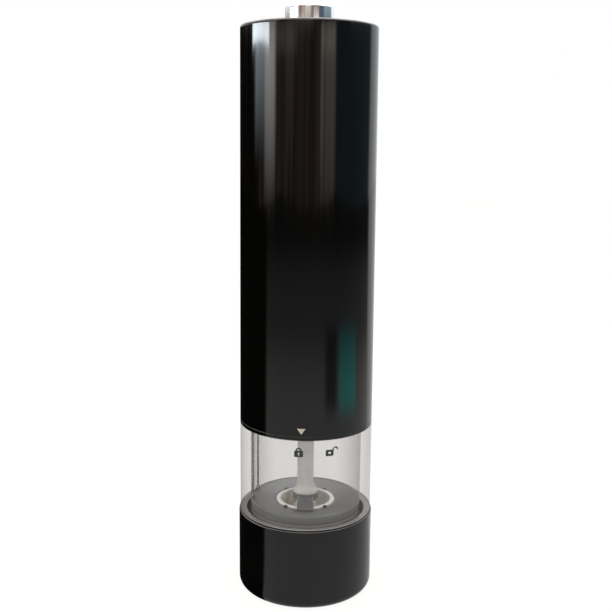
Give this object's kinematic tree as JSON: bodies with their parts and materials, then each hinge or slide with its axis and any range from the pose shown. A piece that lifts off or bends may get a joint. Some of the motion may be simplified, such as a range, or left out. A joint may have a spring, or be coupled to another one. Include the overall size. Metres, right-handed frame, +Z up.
{
  "type": "electric pepper mill",
  "caption": "Cylindrical battery pepper mill: gloss black sleeve with a chrome push button on top, clear hopper with twist lock, and a black base holding ceramic burrs",
  "frame": {"origin": "centre of the base's rest plane, on the mill's own axis", "axes": "+Z up along the mill's axis; -Y is the side with the padlock marks; +X to the right seen from that side"},
  "size_m": [0.0528, 0.0528, 0.224],
  "materials": {
    "adjuster_knob": "matt black moulded plastic with grip flutes",
    "adjuster_screw": "turned brass",
    "adjuster_spider": "matt black moulded plastic",
    "base_shell": "polished black moulded plastic",
    "battery_cell_1": "plain printed foil wrap, no lettering",
    "battery_cell_2": "plain printed foil wrap, no lettering",
    "battery_cell_3": "plain printed foil wrap, no lettering",
    "battery_cell_4": "plain printed foil wrap, no lettering",
    "battery_holder": "matt black moulded plastic",
    "brushes_and_terminals": "copper alloy strip",
    "burr_clip": "spring steel",
    "burr_spring": "spring wire",
    "button_spring": "spring wire",
    "cell_contacts": "nickel plated spring steel",
    "chassis_plate": "matt black moulded plastic",
    "commutator": "copper",
    "drive_shaft": "ground stainless steel",
    "feed_bridge": "polished dark grey moulded plastic",
    "first_carrier": "glass filled nylon",
    "gearbox_screws": "zinc plated steel",
    "grinder_cage": "matt black moulded plastic",
    "high_planet_1": "natural acetal",
    "high_planet_2": "natural acetal",
    "high_planet_3": "natural acetal",
    "hopper": "clear acrylic",
    "hopper_floor": "polished dark grey moulded plastic",
    "inner_burr": "unglazed off-white ceramic",
    "lamp": "clear epoxy lamp on a small board",
    "lamp_contact_pins": "gold coloured spring contacts",
    "lamp_lead_rods": "drawn steel",
    "lamp_lens": "clear moulded lens",
    "lamp_supply_wires": "insulated wire",
    "lamp_wires": "insulated wire",
    "low_planet_1": "natural acetal",
    "low_planet_2": "natural acetal",
    "low_planet_3": "natural acetal",
    "lower_collar": "polished black moulded plastic",
    "motor_bushes": "sintered bronze",
    "motor_can": "zinc plated steel",
    "motor_end_cap": "moulded plastic",
    "motor_magnets": "ferrite",
    "motor_pinion": "hobbed brass",
    "outer_burr": "unglazed white ceramic",
    "outer_sleeve": "gloss black coated steel",
    "output_carrier": "glass filled nylon",
    "padlock_marks": "printed dark ink",
    "pointer_mark": "printed cream ink",
    "power_wires": "insulated wire",
    "push_button": "bright chrome plate",
    "ring_gear_housing": "natural acetal",
    "rotor": "laminated steel core on a ground shaft",
    "seal_ring": "grey silicone",
    "shaft_bush": "sintered bronze",
    "shaft_tube": "clear moulded plastic",
    "side_frames": "matt black moulded plastic",
    "switch_board": "green board laminate",
    "switch_body": "matt black moulded plastic",
    "switch_plunger": "red moulded plastic",
    "thrust_ball": "polished bearing steel",
    "top_cap": "polished black moulded plastic"
  },
  "bodies": {
    "base": {"base_shell": "base_shell", "grinder_cage": "grinder_cage", "outer_burr": "outer_burr", "hopper_floor": "hopper_floor", "feed_bridge": "feed_bridge", "shaft_bush": "shaft_bush", "shaft_tube": "shaft_tube", "hopper": "hopper", "lamp_lead_rods": "lamp_lead_rods", "lamp_lens": "lamp_lens", "lamp": "lamp", "lamp_wires": "lamp_wires", "padlock_marks": "padlock_marks", "adjuster_spider": "adjuster_spider", "burr_spring": "burr_spring"},
    "seal": {"seal_ring": "seal_ring"},
    "motor_unit": {"outer_sleeve": "outer_sleeve", "lower_collar": "lower_collar", "chassis_plate": "chassis_plate", "gearbox_screws": "gearbox_screws", "lamp_contact_pins": "lamp_contact_pins", "side_frames": "side_frames", "ring_gear_housing": "ring_gear_housing", "motor_can": "motor_can", "motor_magnets": "motor_magnets", "motor_end_cap": "motor_end_cap", "motor_bushes": "motor_bushes", "brushes_and_terminals": "brushes_and_terminals", "battery_holder": "battery_holder", "battery_cell_1": "battery_cell_1", "battery_cell_2": "battery_cell_2", "battery_cell_3": "battery_cell_3", "battery_cell_4": "battery_cell_4", "cell_contacts": "cell_contacts", "switch_board": "switch_board", "switch_body": "switch_body", "top_cap": "top_cap", "power_wires": "power_wires", "lamp_supply_wires": "lamp_supply_wires", "pointer_mark": "pointer_mark", "button_spring": "button_spring"},
    "button": {"push_button": "push_button", "switch_plunger": "switch_plunger"},
    "rotor_body": {"rotor": "rotor", "commutator": "commutator", "motor_pinion": "motor_pinion"},
    "high_carrier": {"first_carrier": "first_carrier"},
    "low_carrier": {"output_carrier": "output_carrier"},
    "knob": {"adjuster_knob": "adjuster_knob"},
    "adjuster": {"adjuster_screw": "adjuster_screw", "thrust_ball": "thrust_ball"},
    "shaft": {"drive_shaft": "drive_shaft", "inner_burr": "inner_burr", "burr_clip": "burr_clip"},
    "high_planet_body_1": {"high_planet_1": "high_planet_1"},
    "low_planet_body_1": {"low_planet_1": "low_planet_1"},
    "high_planet_body_2": {"high_planet_2": "high_planet_2"},
    "low_planet_body_2": {"low_planet_2": "low_planet_2"},
    "high_planet_body_3": {"high_planet_3": "high_planet_3"},
    "low_planet_body_3": {"low_planet_3": "low_planet_3"}
  },
  "joints": [
    {"name": "lift_off", "type": "slide", "parent": "base", "child": "seal", "axis": [0, 0, 1], "range_m": [0, 0.06]},
    {"name": "lock_twist", "type": "hinge", "parent": "seal", "child": "motor_unit", "pos_m": [0, 0, 0.0755], "axis": [0, 0, 1], "range_deg": [0, 27]},
    {"name": "button_press", "type": "slide", "parent": "motor_unit", "child": "button", "axis": [0, 0, -1], "range_m": [0, 0.0025], "stiffness_N_per_m": 800, "springref_m": -0.00375, "deforming": ["button_spring"]},
    {"name": "motor_spin", "type": "hinge", "parent": "motor_unit", "child": "rotor_body", "pos_m": [0, 0, 0.115], "axis": [0, 0, 1], "continuous": true},
    {"name": "high_carrier_spin", "type": "hinge", "parent": "motor_unit", "child": "high_carrier", "pos_m": [0, 0, 0.09], "axis": [0, 0, 1], "continuous": true},
    {"name": "low_carrier_spin", "type": "hinge", "parent": "motor_unit", "child": "low_carrier", "pos_m": [0, 0, 0.08], "axis": [0, 0, 1], "continuous": true},
    {"name": "knob_turn", "type": "hinge", "parent": "base", "child": "knob", "pos_m": [0, 0, 0.005], "axis": [0, 0, 1], "range_deg": [-180, 180]},
    {"name": "adjuster_lift", "type": "slide", "parent": "base", "child": "adjuster", "axis": [0, 0, 1], "range_m": [-0.0005, 0.0005], "deforming": ["burr_spring"]},
    {"name": "shaft_spin", "type": "hinge", "parent": "adjuster", "child": "shaft", "pos_m": [0, 0, 0.03], "axis": [0, 0, 1], "continuous": true},
    {"name": "high_planet_spin_1", "type": "hinge", "parent": "high_carrier", "child": "high_planet_body_1", "pos_m": [0.00975, 0, 0.094], "axis": [0, 0, 1], "continuous": true},
    {"name": "low_planet_spin_1", "type": "hinge", "parent": "low_carrier", "child": "low_planet_body_1", "pos_m": [0.00975, 0, 0.085], "axis": [0, 0, 1], "continuous": true},
    {"name": "high_planet_spin_2", "type": "hinge", "parent": "high_carrier", "child": "high_planet_body_2", "pos_m": [-0.00487, 0.00844, 0.094], "axis": [0, 0, 1], "continuous": true},
    {"name": "low_planet_spin_2", "type": "hinge", "parent": "low_carrier", "child": "low_planet_body_2", "pos_m": [-0.00487, 0.00844, 0.085], "axis": [0, 0, 1], "continuous": true},
    {"name": "high_planet_spin_3", "type": "hinge", "parent": "high_carrier", "child": "high_planet_body_3", "pos_m": [-0.00487, -0.00844, 0.094], "axis": [0, 0, 1], "continuous": true},
    {"name": "low_planet_spin_3", "type": "hinge", "parent": "low_carrier", "child": "low_planet_body_3", "pos_m": [-0.00487, -0.00844, 0.085], "axis": [0, 0, 1], "continuous": true}
  ],
  "couplings": [
    {"joint": "high_carrier_spin", "follows": "motor_spin", "ratio": 0.2},
    {"joint": "low_carrier_spin", "follows": "motor_spin", "ratio": 0.04},
    {"joint": "shaft_spin", "follows": "motor_spin", "ratio": 0.04},
    {"joint": "knob_turn", "follows": "adjuster_lift", "rad_per_m": 6283.2},
    {"joint": "high_planet_spin_1", "follows": "motor_spin", "ratio": -0.53333},
    {"joint": "low_planet_spin_1", "follows": "motor_spin", "ratio": -0.10667},
    {"joint": "high_planet_spin_2", "follows": "motor_spin", "ratio": -0.53333},
    {"joint": "low_planet_spin_2", "follows": "motor_spin", "ratio": -0.10667},
    {"joint": "high_planet_spin_3", "follows": "motor_spin", "ratio": -0.53333},
    {"joint": "low_planet_spin_3", "follows": "motor_spin", "ratio": -0.10667}
  ]
}
